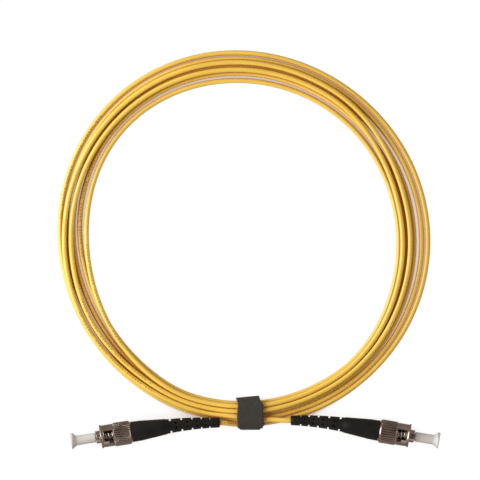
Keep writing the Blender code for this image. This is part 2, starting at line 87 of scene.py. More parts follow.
# rows of print, in metres along the cable
MARK_START = 0.36
MARK_PERIOD = 0.44
MARK_LENGTH = 0.045
LEAD_MARK = (0.0575, 0.0065)     # middle and half length of the row beside the tie
TICK_PITCH = 0.0013
TICK_LENGTH = 0.0008
GROUP_PITCH = 0.0091             # ticks stand in groups
GROUP_SPACE = 0.0014
PRINT_SIDE = (0.23, 0.045)       # middle and half width, as shares of the way round

# light and camera, in metres and watts
KEY_POWER = 14.5
KEY_SIZE = 0.84
KEY_PLACE = (-0.763, 0.076, 0.473)
SURROUND = 0.52
OVERHEAD = 0.22
FILL_GLOW = 1.0
FRONT_GLOW = 0.6
FLOOR_HALF = 1.5
FLOOR_DROP = 0.0001
LENS = 600.0
FRAME_WIDTH = 0.192              # width seen at the height of the coil
COIL_HEIGHT = 0.003
CAMERA_X = -0.00381
CAMERA_Y = 0.00394


# ---------------------------------------------------------------- node materials
class Graph:
    """Small helper for building a shader tree."""

    def __init__(self, name):
        self.mat = bpy.data.materials.new(name)
        self.mat.use_nodes = True
        self.tree = self.mat.node_tree
        self.tree.nodes.clear()
        self.out = self.tree.nodes.new("ShaderNodeOutputMaterial")
        self.shader = self.node("ShaderNodeBsdfPrincipled")
        self.link(self.shader.outputs[0], self.out.inputs["Surface"])

    def node(self, kind, **settings):
        """New node, with each setting given to the input or the property of that name."""
        n = self.tree.nodes.new(kind)
        for key, value in settings.items():
            if key in n.inputs:
                n.inputs[key].default_value = value
            else:
                setattr(n, key, value)
        return n

    def link(self, a, b):
        self.tree.links.new(a, b)

    def feed(self, socket, value):
        """Give an input either a link or a plain value."""
        if hasattr(value, "links"):
            self.link(value, socket)
        else:
            socket.default_value = value

    def set(self, **values):
        for key, value in values.items():
            self.feed(self.shader.inputs[key.replace("_", " ")], value)

    def coords(self):
        return self.node("ShaderNodeTexCoord").outputs["Object"]

    def noise(self, scale, detail=3.0, rough=0.5):
        n = self.node("ShaderNodeTexNoise", Scale=scale, Detail=detail, Roughness=rough)
        self.link(self.coords(), n.inputs["Vector"])
        return n.outputs["Fac"]

    def attribute(self, name):
        return self.node("ShaderNodeAttribute", attribute_name=name).outputs["Fac"]

    def math(self, operation, *values):
        n = self.node("ShaderNodeMath", operation=operation)
        for socket, value in zip(n.inputs, values):
            self.feed(socket, value)
        return n.outputs[0]

    def ramp(self, fac, low, high, at_low=0.0, at_high=1.0):
        """Map low..high of a value to at_low..at_high."""
        limits = {"From Min": low, "From Max": high, "To Min": at_low, "To Max": at_high}
        n = self.node("ShaderNodeMapRange", **limits)
        self.link(fac, n.inputs["Value"])
        return n.outputs["Result"]

    def mix(self, fac, a, b):
        """Mix two colours, each a link or a tuple of three."""
        n = self.node("ShaderNodeMix", data_type="RGBA")
        self.link(fac, n.inputs[0])
        for socket, value in ((n.inputs[6], a), (n.inputs[7], b)):
            self.feed(socket, value if hasattr(value, "links") else (*value, 1.0))
        return n.outputs[2]

    def bump(self, height, strength, distance):
        n = self.node("ShaderNodeBump", Strength=strength, Distance=distance)
        self.link(height, n.inputs["Height"])
        self.link(n.outputs[0], self.shader.inputs["Normal"])


def jacket_print(g):
    """Ink of generic ticks along the top of the jacket, in rows, with no lettering."""
    along = g.attribute("along")
    place = g.math("FLOORED_MODULO", g.math("SUBTRACT", along, MARK_START), MARK_PERIOD)
    row = g.math("LESS_THAN", place, MARK_LENGTH)
    lead_row = g.math("COMPARE", along, *LEAD_MARK)
    tick = g.math("LESS_THAN", g.math("MODULO", along, TICK_PITCH), TICK_LENGTH)
    group = g.math("GREATER_THAN", g.math("MODULO", along, GROUP_PITCH), GROUP_SPACE)
    off_middle = g.math("ABSOLUTE", g.math("SUBTRACT", g.attribute("around"), PRINT_SIDE[0]))
    on_top = g.math("LESS_THAN", off_middle, PRINT_SIDE[1])
    in_row = g.math("MULTIPLY", g.math("MAXIMUM", row, lead_row), tick)
    ink = g.math("MULTIPLY", in_row, g.math("MULTIPLY", on_top, group))
    wear = g.ramp(g.noise(2500.0, 2.0), 0.3, 0.65, 0.15, 0.70)
    return g.math("MULTIPLY", ink, wear)


def jacket_material():
    """Yellow PVC, slightly uneven, with painted shade, deeper and more orange, where strands crowd together.
    """
    g = Graph("jacket_yellow_pvc")
    broad = g.noise(60.0, 4.0)
    fine = g.noise(900.0, 4.0, 0.6)
    tone = g.mix(g.ramp(broad, 0.35, 0.65), (0.73, 0.50, 0.078), (0.79, 0.55, 0.095))
    tone = g.mix(g.ramp(fine, 0.45, 0.75, 0.0, 0.05), tone, (0.55, 0.30, 0.03))
    # painted shade: the colour is made deeper and more orange where strands crowd together, standing in for
    # light that has bounced between neighbouring strands
    painted_shade_ao = g.node("ShaderNodeAmbientOcclusion", Distance=0.004, samples=6).outputs["AO"]
    tone = g.mix(g.ramp(painted_shade_ao, 0.35, 0.85), (0.62, 0.29, 0.045), tone)
    g.set(Base_Color=g.mix(jacket_print(g), tone, (0.05, 0.035, 0.02)),
          Roughness=g.ramp(broad, 0.3, 0.7, 0.34, 0.44), Coat_Weight=0.15, Coat_Roughness=0.25)
    g.bump(g.math("ADD", fine, g.math("MULTIPLY", g.noise(250.0), 0.8)), 0.03, 0.00006)
    return g.mat


def rubber_material():
    """Matt black moulded rubber with a fine grain."""
    g = Graph("boot_black_rubber")
    grain = g.noise(1800.0, 5.0, 0.65)
    cloud = g.noise(160.0, 3.0)
    tone = g.mix(g.ramp(cloud, 0.35, 0.65), (0.006, 0.007, 0.0075), (0.011, 0.012, 0.0125))
    g.set(Base_Color=tone, Roughness=g.ramp(grain, 0.3, 0.7, 0.40, 0.55), Specular_IOR_Level=0.16)
    g.bump(grain, 0.25, 0.00005)
    return g.mat


def metal_material(name, dark, light, smooth, dull):
    """Plated or drawn metal whose tone and roughness wander a little."""
    g = Graph(name)
    broad = g.noise(220.0, 4.0)
    fine = g.noise(2600.0, 3.0)
    g.set(Base_Color=g.mix(g.ramp(broad, 0.35, 0.65), dark, light), Metallic=1.0,
          Roughness=g.ramp(g.math("ADD", fine, broad), 0.7, 1.3, smooth, dull))
    g.bump(fine, 0.015, 0.00002)
    return g.mat


def plain_material(name, dark, light, smooth, dull, scale=400.0, bump=0.1, **extra):
    """Moulded or ceramic surface: two close tones in a soft cloud, with a fine grain."""
    g = Graph(name)
    cloud = g.noise(scale, 4.0)
    g.set(Base_Color=g.mix(g.ramp(cloud, 0.35, 0.65), dark, light),
          Roughness=g.ramp(cloud, 0.3, 0.7, smooth, dull), **extra)
    g.bump(g.noise(scale * 6.0, 3.0), bump, 0.00003)
    return g.mat


def yarn_material():
    """Straw-coloured filaments that run along the yarn."""
    g = Graph("aramid_yarn")
    strands = g.math("SINE", g.math("MULTIPLY", g.attribute("around"), 40.0))
    tone = g.mix(g.ramp(strands, -1.0, 1.0), (0.62, 0.43, 0.10), (0.86, 0.68, 0.28))
    g.set(Base_Color=tone, Roughness=0.6)
    g.bump(strands, 0.3, 0.00005)
    return g.mat


def fabric_material():
    """Dark loop fabric: a rough pile over a fine weave."""
    g = Graph("tie_loop_fabric")
    pile = g.noise(2600.0, 5.0, 0.7)
    cloud = g.noise(420.0, 5.0, 0.65)
    weave = g.node("ShaderNodeTexVoronoi", Scale=2300.0)
    g.link(g.coords(), weave.inputs["Vector"])
    tone = g.mix(g.ramp(pile, 0.32, 0.68), (0.018, 0.018, 0.019), (0.060, 0.059, 0.056))
    tone = g.mix(g.ramp(cloud, 0.3, 0.7, 0.0, 0.5), tone, (0.040, 0.040, 0.039))
    g.set(Base_Color=tone, Roughness=0.92, Sheen_Weight=0.10, Sheen_Roughness=0.45, Specular_IOR_Level=0.25)
    g.bump(g.math("ADD", pile, g.math("MULTIPLY", weave.outputs["Distance"], 0.8)), 0.8, 0.00016)
    return g.mat


def cap_material():
    """Milky natural plastic."""
    g = Graph("cap_natural_plastic")
    tone = g.mix(g.ramp(g.noise(300.0, 4.0), 0.3, 0.7), (0.52, 0.525, 0.545), (0.57, 0.575, 0.595))
    g.set(Base_Color=tone, Roughness=0.45, Specular_IOR_Level=0.3)
    g.bump(g.noise(700.0), 0.02, 0.00004)
    return g.mat


JACKET = jacket_material()
RUBBER = rubber_material()
NICKEL = metal_material("nickel_plated_brass", (0.25, 0.215, 0.20), (0.33, 0.285, 0.265), 0.22, 0.32)
STEEL = metal_material("spring_steel", (0.42, 0.40, 0.38), (0.60, 0.58, 0.55), 0.14, 0.24)
CRIMP = metal_material("crimp_copper_alloy", (0.42, 0.30, 0.15), (0.55, 0.41, 0.22), 0.26, 0.40)
CERAMIC = plain_material("zirconia_ceramic", (0.84, 0.84, 0.81), (0.90, 0.90, 0.87), 0.10, 0.18,
                         Coat_Weight=0.3)
BUFFER = plain_material("buffer_white", (0.78, 0.78, 0.74), (0.84, 0.84, 0.80), 0.40, 0.50)
GLASS = plain_material("fiber_glass", (0.70, 0.82, 0.92), (0.80, 0.90, 0.98), 0.04, 0.08,
                       Transmission_Weight=0.6)
HOOKS = plain_material("tie_hook_nylon", (0.018, 0.018, 0.019), (0.034, 0.034, 0.035), 0.55, 0.75,
                       scale=1500.0, bump=0.8)
YARN = yarn_material()
FABRIC = fabric_material()
CAP = cap_material()


# ---------------------------------------------------------------- meshes
def piece(name, verts, faces, mat, sharp, attributes=None):
    """Smooth-shaded object whose edges over sharp degrees stay crisp; attributes hold a value a point."""
    mesh = bpy.data.meshes.new(name)
    mesh.from_pydata([tuple(v) for v in verts], [], faces)
    for key, values in (attributes or {}).items():
        layer = mesh.attributes.new(key, "FLOAT", "POINT")
        layer.data.foreach_set("value", np.asarray(values, np.float32))
    bm = bmesh.new()
    bm.from_mesh(mesh)
    bmesh.ops.delete(bm, geom=[v for v in bm.verts if not v.link_faces], context="VERTS")
    bmesh.ops.recalc_face_normals(bm, faces=bm.faces)
    bm.to_mesh(mesh)
    bm.free()
    mesh.shade_smooth()
    mesh.set_sharp_from_angle(angle=math.radians(sharp))
    mesh.materials.append(mat)
    obj = bpy.data.objects.new(name, mesh)
    bpy.context.scene.collection.objects.link(obj)
    return obj


def bevel(obj, width, angle=30.0):
    """Round the edges that turn by more than angle degrees."""
    mod = obj.modifiers.new("edge", "BEVEL")
    mod.width = width * MM
    mod.segments = 2
    mod.limit_method = "ANGLE"
    mod.angle_limit = math.radians(angle)
    return obj


def settle(obj, body, *nodes):
    """Give a finished piece its body and hide the CAD nodes it stands for."""
    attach(obj, body)
    if nodes:
        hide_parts(*nodes)


def tube(centre, first, second, radius, sides):
    """Round tube with closed ends; first and second are each section's unit vectors."""
    phi = 2.0 * np.pi * np.arange(sides) / sides
    cos, sin = np.cos(phi)[None, :, None], np.sin(phi)[None, :, None]
    ring = radius * MM * (cos * first[:, None, :] + sin * second[:, None, :])
    verts = (centre[:, None, :] + ring).reshape(-1, 3)
    last = (len(centre) - 1) * sides
    faces = [tuple(range(sides))[::-1], tuple(last + j for j in range(sides))]
    for start in range(0, last, sides):
        for j in range(sides):
            a, b = start + j, start + (j + 1) % sides
            faces.append((a, b, b + sides, a + sides))
    return verts, faces


# ---------------------------------------------------------------- the cable's centre line, from the CAD glass
def ring_centres(node, tip):
    """Centres of a swept node's cross-sections in order, walking outward from the one at tip."""
    keys, index, points = {}, [], []
    for v in node.data.vertices:
        key = tuple(round(c * 1e7) for c in v.co)
        if key not in keys:
            keys[key] = len(points)
            points.append(np.array(v.co, float))
        index.append(keys[key])
    links = {i: set() for i in range(len(points))}
    for e in node.data.edges:
        a, b = index[e.vertices[0]], index[e.vertices[1]]
        if a != b:
            links[a].add(b)
            links[b].add(a)
    order = sorted(range(len(points)), key=lambda i: np.linalg.norm(points[i] - tip))
    ring, seen, centres = set(order[:3]), set(), []
    while ring:
        centres.append(np.mean([points[i] for i in ring], axis=0))
        seen |= ring
        ring = {j for i in ring for j in links[i]} - seen
    return np.array(centres)


class Line:
    """Smooth curve through points, by natural cubic splines over chord length."""

    def __init__(self, points):
        self.p = points
        self.s = np.concatenate([[0.0], np.cumsum(np.linalg.norm(np.diff(points, axis=0), axis=1))])
        n, h = len(points), np.diff(self.s)
        a = np.zeros((n, n))
        rhs = np.zeros((n, 3))
        a[0, 0] = a[-1, -1] = 1.0
        for i in range(1, n - 1):
            a[i, i - 1], a[i, i], a[i, i + 1] = h[i - 1], 2.0 * (h[i - 1] + h[i]), h[i]
            rhs[i] = 6.0 * ((points[i + 1] - points[i]) / h[i] - (points[i] - points[i - 1]) / h[i - 1])
        self.m = np.linalg.solve(a, rhs)
        self.length = self.s[-1]

    def at(self, s):
        """Points and unit directions at the distances s."""
        i = np.clip(np.searchsorted(self.s, s) - 1, 0, len(self.s) - 2)
        h = self.s[i + 1] - self.s[i]
        a, b = ((self.s[i + 1] - s) / h)[:, None], ((s - self.s[i]) / h)[:, None]
        h = h[:, None]
        m0, m1, p0, p1 = self.m[i], self.m[i + 1], self.p[i], self.p[i + 1]
        point = a * p0 + b * p1 + ((a**3 - a) * m0 + (b**3 - b) * m1) * h * h / 6.0
        slope = (p1 - p0) / h + ((3 * b**2 - 1) * m1 - (3 * a**2 - 1) * m0) * h / 6.0
        return point, slope / np.linalg.norm(slope, axis=1)[:, None]


def directions(ahead):
    """Sideways and upward unit vectors for rows of forward directions."""
    across = np.cross(np.array([0.0, 0.0, 1.0]), ahead)
    across /= np.linalg.norm(across, axis=1)[:, None]
    return across, np.cross(ahead, across)


def spin_axis(side):
    """Origin and unit direction of a connector's axis, as the nut's joint gives them."""
    spin = JOINTS[side + "_nut_spin"]
    return np.array(spin["pos_m"], float), np.array(spin["axis"], float)


AXES = {side: spin_axis(side) for side in SIDES}
FIBER_TIP = AXES["left"][0] + AXES["left"][1] * FIBER_TIP_U * MM
CABLE = Line(ring_centres(frame["nodes"]["optical_fiber"], FIBER_TIP))


def station(side, u):
    """Point, forward, across and up vectors on a connector's axis at each u; the boot's tail bends."""
    u = np.atleast_1d(np.asarray(u, float))
    pos, axis = AXES[side]
    point = pos + u[:, None] * MM * axis
    ahead = np.repeat(axis[None, :], len(u), axis=0)
    bent = u < -BOOT_STIFF + 1.0
    if bent.any():
        s = (FIBER_TIP_U - u[bent]) * MM
        if side == "left":
            point[bent], backward = CABLE.at(s)
            ahead[bent] = -backward
        else:
            point[bent], ahead[bent] = CABLE.at(CABLE.length - s)
    across, up = directions(ahead)
    return point, ahead, across, up


def around(side, stations, facets, twist=0.0):
    """Rings of points on a connector's axis: stations are (u, r) and r may be an array over the ring."""
    point, _, across, up = station(side, [s[0] for s in stations])
    phi = 2.0 * np.pi * np.arange(facets) / facets + twist
    rings = []
    for i, (_, r) in enumerate(stations):
        r = np.broadcast_to(np.asarray(r, float), (facets,)) * MM
        rings.append(point[i] + (r * np.cos(phi))[:, None] * across[i] + (r * np.sin(phi))[:, None] * up[i])
    return np.concatenate(rings)


def shell(side, outer, inner, facets, keep, twist=0.0):
    """Wall between matching outer and inner stations, with cells left out where keep(i, j) is false."""
    n = len(outer) - 1
    verts = np.concatenate([around(side, outer, facets, twist), around(side, inner, facets, twist)])
    base = (n + 1) * facets
    solid = np.zeros((n + 2, facets), bool)
    for i in range(n):
        solid[i + 1] = [keep(i, j) for j in range(facets)]
    faces = []
    for i, j in np.argwhere(solid[1:-1]).tolist():
        j2 = (j + 1) % facets
        a, b, c, d = i * facets + j, i * facets + j2, (i + 1) * facets + j2, (i + 1) * facets + j
        faces.append((a, b, c, d))
        faces.append((base + a, base + d, base + c, base + b))
        if not solid[i, j]:
            faces.append((a, base + a, base + b, b))
        if not solid[i + 2, j]:
            faces.append((d, c, base + c, base + d))
        if not solid[i + 1, j - 1]:
            faces.append((a, d, base + d, base + a))
        if not solid[i + 1, j2]:
            faces.append((b, base + b, base + c, c))
    return verts, faces


def turned(side, profile, facets):
    """Closed turned body: a profile that starts and ends on the axis, or a closed loop."""
    on_axis = profile[0][1] == 0.0
    rim = profile[1:-1] if on_axis else profile
    verts = list(around(side, rim, facets))
    faces = []
    count = len(rim)
    for i in range(count - 1 if on_axis else count):
        p, q = i * facets, ((i + 1) % count) * facets
        for j in range(facets):
            j2 = (j + 1) % facets
            faces.append((p + j, p + j2, q + j2, q + j))
    if on_axis:
        for u, row, flip in ((profile[0][0], 0, True), (profile[-1][0], count - 1, False)):
            verts.append(station(side, u)[0][0])
            for j in range(facets):
                edge = (row * facets + j, row * facets + (j + 1) % facets)
                faces.append((len(verts) - 1, *(edge[::-1] if flip else edge)))
    return verts, faces


def round_corners(profile, radius, steps, closed=False):
    """Replace each corner of a profile with a small arc."""
    points = [np.array(p, float) for p in profile]
    n, out = len(points), []
    for i, p in enumerate(points):
        if not closed and i in (0, n - 1):
            out.append(p)
            continue
        a, b = points[i - 1], points[(i + 1) % n]
        to_a, to_b = np.linalg.norm(a - p), np.linalg.norm(b - p)
        cut = min(radius, 0.45 * to_a, 0.45 * to_b)
        start, end = p + (a - p) / to_a * cut, p + (b - p) / to_b * cut
        for t in np.arange(steps + 1) / steps:
            out.append((1 - t) ** 2 * start + 2 * t * (1 - t) * p + t**2 * end)
    return [tuple(p) for p in out]


# ---------------------------------------------------------------- cable layers
JACKET_START = (FIBER_TIP_U - JACKET_END_U) * MM


def layer(name, radius, sides, reach, mat, node, spacing, lift=None):
    """Round layer of the cable, which runs reach millimetres past the jacket at both ends."""
    start = JACKET_START - reach * MM
    end = CABLE.length - start
    s = np.linspace(start, end, int((end - start) / spacing) + 2)
    point, ahead = CABLE.at(s)
    across, up = directions(ahead)
    if lift:
        point = point + up * lift(s)[:, None]
    verts, faces = tube(point, across, up, radius, sides)
    marks = {"along": np.repeat(s, sides), "around": np.tile(np.arange(sides) / sides, len(s))}
    settle(piece(name, verts, faces, mat, 60.0, marks), "cord", node)


def yarn_lift(s):
    """Height of the yarn over the cable's axis: it climbs over the crimp stem at each end."""
    from_end = np.minimum(s, CABLE.length - s) / MM
    jacket = JACKET_START / MM
    steps = [jacket - YARN_REACH, jacket - 1.2, jacket + 0.2, jacket + 3.0]
    return MM * np.interp(from_end, steps, [1.83, 1.83, 0.62, 0.50])


def build_cable():
    layer("jacket", 1.0, 16, 0.0, JACKET, "cable_jacket", 0.0022)
    layer("buffer", 0.45, 8, BUFFER_REACH, BUFFER, "tight_buffer", 0.004)
    layer("glass", 0.125, 6, JACKET_START / MM, GLASS, "optical_fiber", 0.004)
    layer("yarn", 0.2, 8, YARN_REACH, YARN, "aramid_yarn", 0.003, yarn_lift)


# ---------------------------------------------------------------- connectors
def boot_radius(u):
    """Outer radius of the boot: nearly straight in front, a cone, then a slimmer slotted tail."""
    return float(np.interp(u, [-BOOT_LEN, -BOOT_STIFF - 0.35, -BOOT_STIFF, -3.85, -0.16, 0.0],
                           [1.92, 2.92, 3.12, 4.02, 4.10, 3.98]))


def build_boot(side):
    facets = 48
    half_turn = facets // 2
    stations = [0.0, -0.06, -0.16, -1.6, -3.85, -6.0, -8.2, -8.6, -11.0]
    stations += [-BOOT_STIFF + 0.05, -BOOT_STIFF - 0.3]
    cuts = {}
    for k, middle in enumerate(BOOT_SLOTS):
        half = 0.36 - 0.010 * k
        cuts[len(stations)] = k
        stations += [middle + half, middle - half]
    stations += [-BOOT_LEN + 0.25]
    outer = [(u, boot_radius(u)) for u in stations] + [(-BOOT_LEN + 0.08, 1.84), (-BOOT_LEN, 1.72)]
    inner = [(u, 2.62 if u > -8.4 else 1.22) for u, _ in outer]

    def keep(i, j):
        """Slots at both sides and slots above and below take turns along the tail."""
        if i not in cuts:
            return True
        at_side = 6 <= j % half_turn < 18
        at_top = not 4 <= j % half_turn < 20
        return not (at_side if cuts[i] % 2 == 0 else at_top)

    verts, faces = shell(side, outer, inner, facets, keep, twist=-math.pi / 2.0)
    boot = bevel(piece(side + "_boot", verts, faces, RUBBER, 35.0), 0.10)
    settle(boot, "cord", side + "_strain_relief_boot")


def build_nut(side):
    facets = 160
    ridge = 4.34 + 0.41 * np.tile([0.0, 0.85, 1.0, 0.85, 0.0], facets // 5)
    outer = [(0.12, 4.12), (0.2, 4.3), (0.62, 4.52), (0.78, ridge), (6.80, ridge), (6.95, 4.42), (7.0, 4.42),
             (7.15, 4.42), (7.3, 4.42), (9.2, 4.42), (11.0, 4.42), (11.15, 4.38), (11.35, 4.36), (11.6, 4.42),
             (11.8, 4.56), (11.98, 4.72), (12.2, 4.76), (12.36, 4.70), (12.4, 4.55)]
    inner = [(0.12, 3.4), (0.3, 3.25), (0.7, 3.25), (1.36, 3.25), (1.37, 2.30), (2.2, 2.30), (2.21, 3.25),
             (4.0, 3.35), (7.3, 3.45), (9.2, 3.6), (11.0, 3.6), (11.2, 3.6), (11.4, 3.6), (11.6, 3.6),
             (11.7, 3.6), (11.9, 3.6), (12.1, 3.62), (12.3, 3.72), (12.4, 3.9)]
    wide = (20, 53) if side == "left" else (27, 60)
    windows = {8: wide, 9: (27, 53)}     # stations with a slot, and its first and last facets

    def keep(i, j):
        """Two stepped bayonet slots, over and under the axis."""
        if i not in windows:
            return True
        first, last = windows[i]
        return not first <= j % (facets // 2) < last

    verts, faces = shell(side, outer, inner, facets, keep)
    nut = bevel(piece(side + "_nut", verts, faces, NICKEL, 28.0), 0.07, 35.0)
    settle(nut, side + "_nut", side + "_coupling_nut")


def build_barrel(side):
    """Body with a rear stem, a groove for the clip, the flange, the tip and a bored front."""
    loop = [(-7.6, 0.64), (-7.6, 1.55), (0.0, 1.55), (0.0, BARREL_R), (0.5, BARREL_R), (0.5, 1.75),
            (1.25, 1.75), (1.25, BARREL_R), (FLANGE_U, BARREL_R), (FLANGE_U, 2.95), (FLANGE_U + 0.8, 2.95),
            (FLANGE_U + 0.8, TIP_R), (14.3, TIP_R), (14.3, 1.95), (10.6, 1.95), (10.4, 1.28), (8.4, 1.28),
            (8.4, 0.64)]
    verts, faces = turned(side, round_corners(loop, 0.10, 2, closed=True), 64)
    settle(piece(side + "_barrel", verts, faces, NICKEL, 35.0), "cord", side + "_connector_barrel")


def build_key(side):
    """Alignment key: a low block on top of the tip, with a pocket in its top."""
    block = ((12.75, 13.9), 0.95, 2.0, 2.85)     # its two ends, half width, bottom and top
    pocket = ((12.9, 13.55), 0.75, 2.25, 2.85)
    verts = []
    for ends, wide, low, high in (block, pocket):
        point, _, across, up = station(side, ends)
        for k in range(2):
            for a, b in ((-wide, low), (wide, low), (wide, high), (-wide, high)):
                verts.append(point[k] + across[k] * a * MM + up[k] * b * MM)
    outside = [(0, 3, 2, 1), (4, 5, 6, 7), (0, 1, 5, 4), (1, 2, 6, 5), (3, 0, 4, 7)]
    rim = [(2, 3, 11, 10), (6, 2, 10, 14), (7, 6, 14, 15), (3, 7, 15, 11)]
    inside = [(8, 9, 10, 11), (12, 15, 14, 13), (9, 13, 14, 10), (12, 8, 11, 15), (8, 12, 13, 9)]
    settle(bevel(piece(side + "_key", verts, outside + rim + inside, NICKEL, 40.0), 0.06), "cord")


def build_spring(side):
    wire, mean, coils, per_coil = 0.23, 2.60, 5.5, 36
    back, front = SPRING_BACK_U + wire, SPRING_FRONT_U - wire
    n = int(coils * per_coil)
    t = np.arange(n + 1) / n
    angle = 2.0 * np.pi * coils * t
    # closed end coils: the pitch is small at both ends
    lead = np.interp(t, [0.0, 0.09, 0.91, 1.0], [0.0, 0.045, 0.955, 1.0])
    point, ahead, across, up = station(side, back + (front - back) * lead)
    out = across * np.cos(angle)[:, None] + up * np.sin(angle)[:, None]
    verts, faces = tube(point + out * mean * MM, out, ahead, wire, 10)
    spring = piece(side + "_spring", verts, faces, STEEL, 60.0)
    settle(spring, "cord", side + "_coupling_spring")
    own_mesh(spring)


def build_collar(name, side, u0, u1, r0, r1, mat, body, node):
    """Plain ring between two places and two radii."""
    loop = round_corners([(u0, r0), (u0, r1), (u1, r1), (u1, r0)], 0.07, 2, closed=True)
    verts, faces = turned(side, loop, 64)
    settle(piece(side + name, verts, faces, mat, 30.0), body, side + node)


def build_clip(side):
    """Retaining ring with a gap, in the barrel's groove."""
    gap = range(12, 20)
    outer = [(0.58, 2.90), (1.17, 2.90)]
    inner = [(0.58, 1.85), (1.17, 1.85)]
    verts, faces = shell(side, outer, inner, 64, lambda i, j: j not in gap)
    clip = bevel(piece(side + "_clip", verts, faces, STEEL, 30.0), 0.05)
    settle(clip, "cord", side + "_retaining_ring")


def build_ferrule(side):
    """Bored ceramic ferrule with a chamfered, domed end."""
    loop = [(8.6, 0.55), (8.6, 1.25), (18.55, 1.25), (18.9, 1.12), (19.08, 0.85), (19.1, 0.2), (9.4, 0.2)]
    verts, faces = turned(side, round_corners(loop, 0.06, 2, closed=True), 48)
    settle(piece(side + "_ferrule_tip", verts, faces, CERAMIC, 35.0), "cord", side + "_ferrule")


def build_cap(side):
    """Dust cap: a tube closed at its flared end, whose rim is thicker towards the coil."""
    profile = [(24.4, 0.0), (24.4, CAP_FLARE_R), (23.75, CAP_FLARE_R), (22.4, 2.12), (21.9, CAP_R),
               (15.0, CAP_R - 0.04), (14.5, 1.86), (14.5, 1.34), (21.9, 1.34), (21.9, 0.0)]
    verts, faces = turned(side, round_corners(profile, 0.16, 3), 64)
    pos, axis = AXES[side]
    barrel = CAP_R + 0.1
    for k, v in enumerate(verts):
        u = (v - pos) @ axis
        radial = v - pos - u * axis
        flare = np.clip((np.linalg.norm(radial) / MM - barrel) / (CAP_FLARE_R - barrel), 0.0, 1.0)
        if u < 24.1 * MM:
            verts[k] = v - axis * 0.42 * flare * radial[1] / CAP_FLARE_R
    settle(piece(side + "_cap_shell", verts, faces, CAP, 40.0), side + "_cap", side + "_dust_cap")


def build_connector(side):
    build_boot(side)
    build_nut(side)
    build_barrel(side)
    build_key(side)
    build_spring(side)
    build_collar("_sleeve", side, -7.2, -0.4, 2.10, 2.45, CRIMP, "cord", "_crimp_sleeve")
    build_collar("_washer", side, 2.26, 2.70, 2.28, 3.05, STEEL, side + "_nut_carrier", "_thrust_washer")
    build_clip(side)
    build_ferrule(side)
    build_cap(side)


# ---------------------------------------------------------------- tie, in millimetres from the CAD band
band_lo, band_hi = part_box("tie_band")
TIE_LEFT, TIE_RIGHT = band_lo.x / MM, band_hi.x / MM
TIE_NEAR, TIE_FAR, TIE_TOP = band_lo.y / MM, band_hi.y / MM, band_hi.z / MM
BAND_T = 0.58
FLAP_T = 0.55
EDGE_INSET = 0.15        # the woven band is this much narrower than the CAD band at each side
FLAP_LIFT = 0.38         # from the band's top to its free end
STRAP_CELLS = 36         # across the strap
EDGE_ROUND = 1.3         # width of the rounded edge, in half thicknesses


def smooth_path(points, radius, closed, spacing):
    """Corner-rounded (y, z) path resampled evenly."""
    path = np.array(round_corners(points, radius, 8, closed))
    if closed:
        path = np.vstack([path, path[:1]])
    s = np.concatenate([[0.0], np.cumsum(np.linalg.norm(np.diff(path, axis=0), axis=1))])
    t = np.linspace(0.0, s[-1], int(s[-1] / spacing) + 1)
    even = np.stack([np.interp(t, s, path[:, k]) for k in range(2)], axis=1)
    return even[:-1] if closed else even


def path_normals(path, closed):
    """Unit normals of a (y, z) path."""
    if closed:
        after, before = np.roll(path, -1, axis=0), np.roll(path, 1, axis=0)
    else:
        after = np.vstack([path[1:], 2 * path[-1:] - path[-2:-1]])
        before = np.vstack([2 * path[:1] - path[1:2], path[:-1]])
    tangent = after - before
    tangent /= np.linalg.norm(tangent, axis=1)[:, None]
    return np.stack([-tangent[:, 1], tangent[:, 0]], axis=1)


def strap(name, path, edges, thick, closed, ripple):
    """Woven strap swept along a (y, z) path; edges(t) gives its two x limits."""
    count = len(path)
    normal = path_normals(path, closed)
    half = thick / 2.0
    shares = [k / STRAP_CELLS for k in range(STRAP_CELLS + 1)]
    loop = [(f, 1.0) for f in shares] + [(f, -1.0) for f in reversed(shares)]
    m = len(loop)
    verts = []
    for i in range(count):
        x0, x1 = edges(i / (count - 1))
        width = x1 - x0
        for f, face in loop:
            inward = min(min(f, 1.0 - f) * width / (half * EDGE_ROUND), 1.0)
            lift = face * half * max(math.sqrt(max(0.0, 1.0 - (1.0 - inward) ** 2)), 0.05)
            wave = ripple * math.sin(2.1 * f * width + 0.18 * i) * math.cos(0.37 * i)
            y, z = path[i] + normal[i] * (lift + wave)
            verts.append(((x0 + f * width) * MM, y * MM, z * MM))
    faces = []
    for i in range(count if closed else count - 1):
        p, q = i * m, ((i + 1) % count) * m
        for j in range(m):
            j2 = (j + 1) % m
            faces.append((p + j, p + j2, q + j2, q + j))
    if not closed:
        for start in (0, (count - 1) * m):
            for j in range(STRAP_CELLS):
                faces.append((start + j, start + j + 1, start + m - 2 - j, start + m - 1 - j))
    return piece(name, verts, faces, FABRIC, 50.0)


def band_edges(t):
    """Edges of the band, which narrows on the right where it turns over the inner edge."""
    narrow = float(np.interp(t, [0.25, 0.37, 0.52, 0.60], [0.0, 1.9, 1.9, 0.0]))
    return TIE_LEFT + EDGE_INSET, TIE_RIGHT - EDGE_INSET - narrow


def build_band():
    """The wrap: its middle line lies half a thickness inside the CAD band's outer faces."""
    h = BAND_T / 2.0
    middle = [(TIE_NEAR + h, h + 0.02), (TIE_FAR - h, h + 0.02), (TIE_FAR - h, 3.40),
              (TIE_FAR - 1.80, TIE_TOP - h), (TIE_NEAR + 3.10, TIE_TOP - h), (TIE_NEAR + h, 3.75)]
    band = strap("tie_wrap", smooth_path(middle, 1.3, True, 0.25), band_edges, BAND_T, True, 0.01)
    settle(band, "cord", "tie_band")


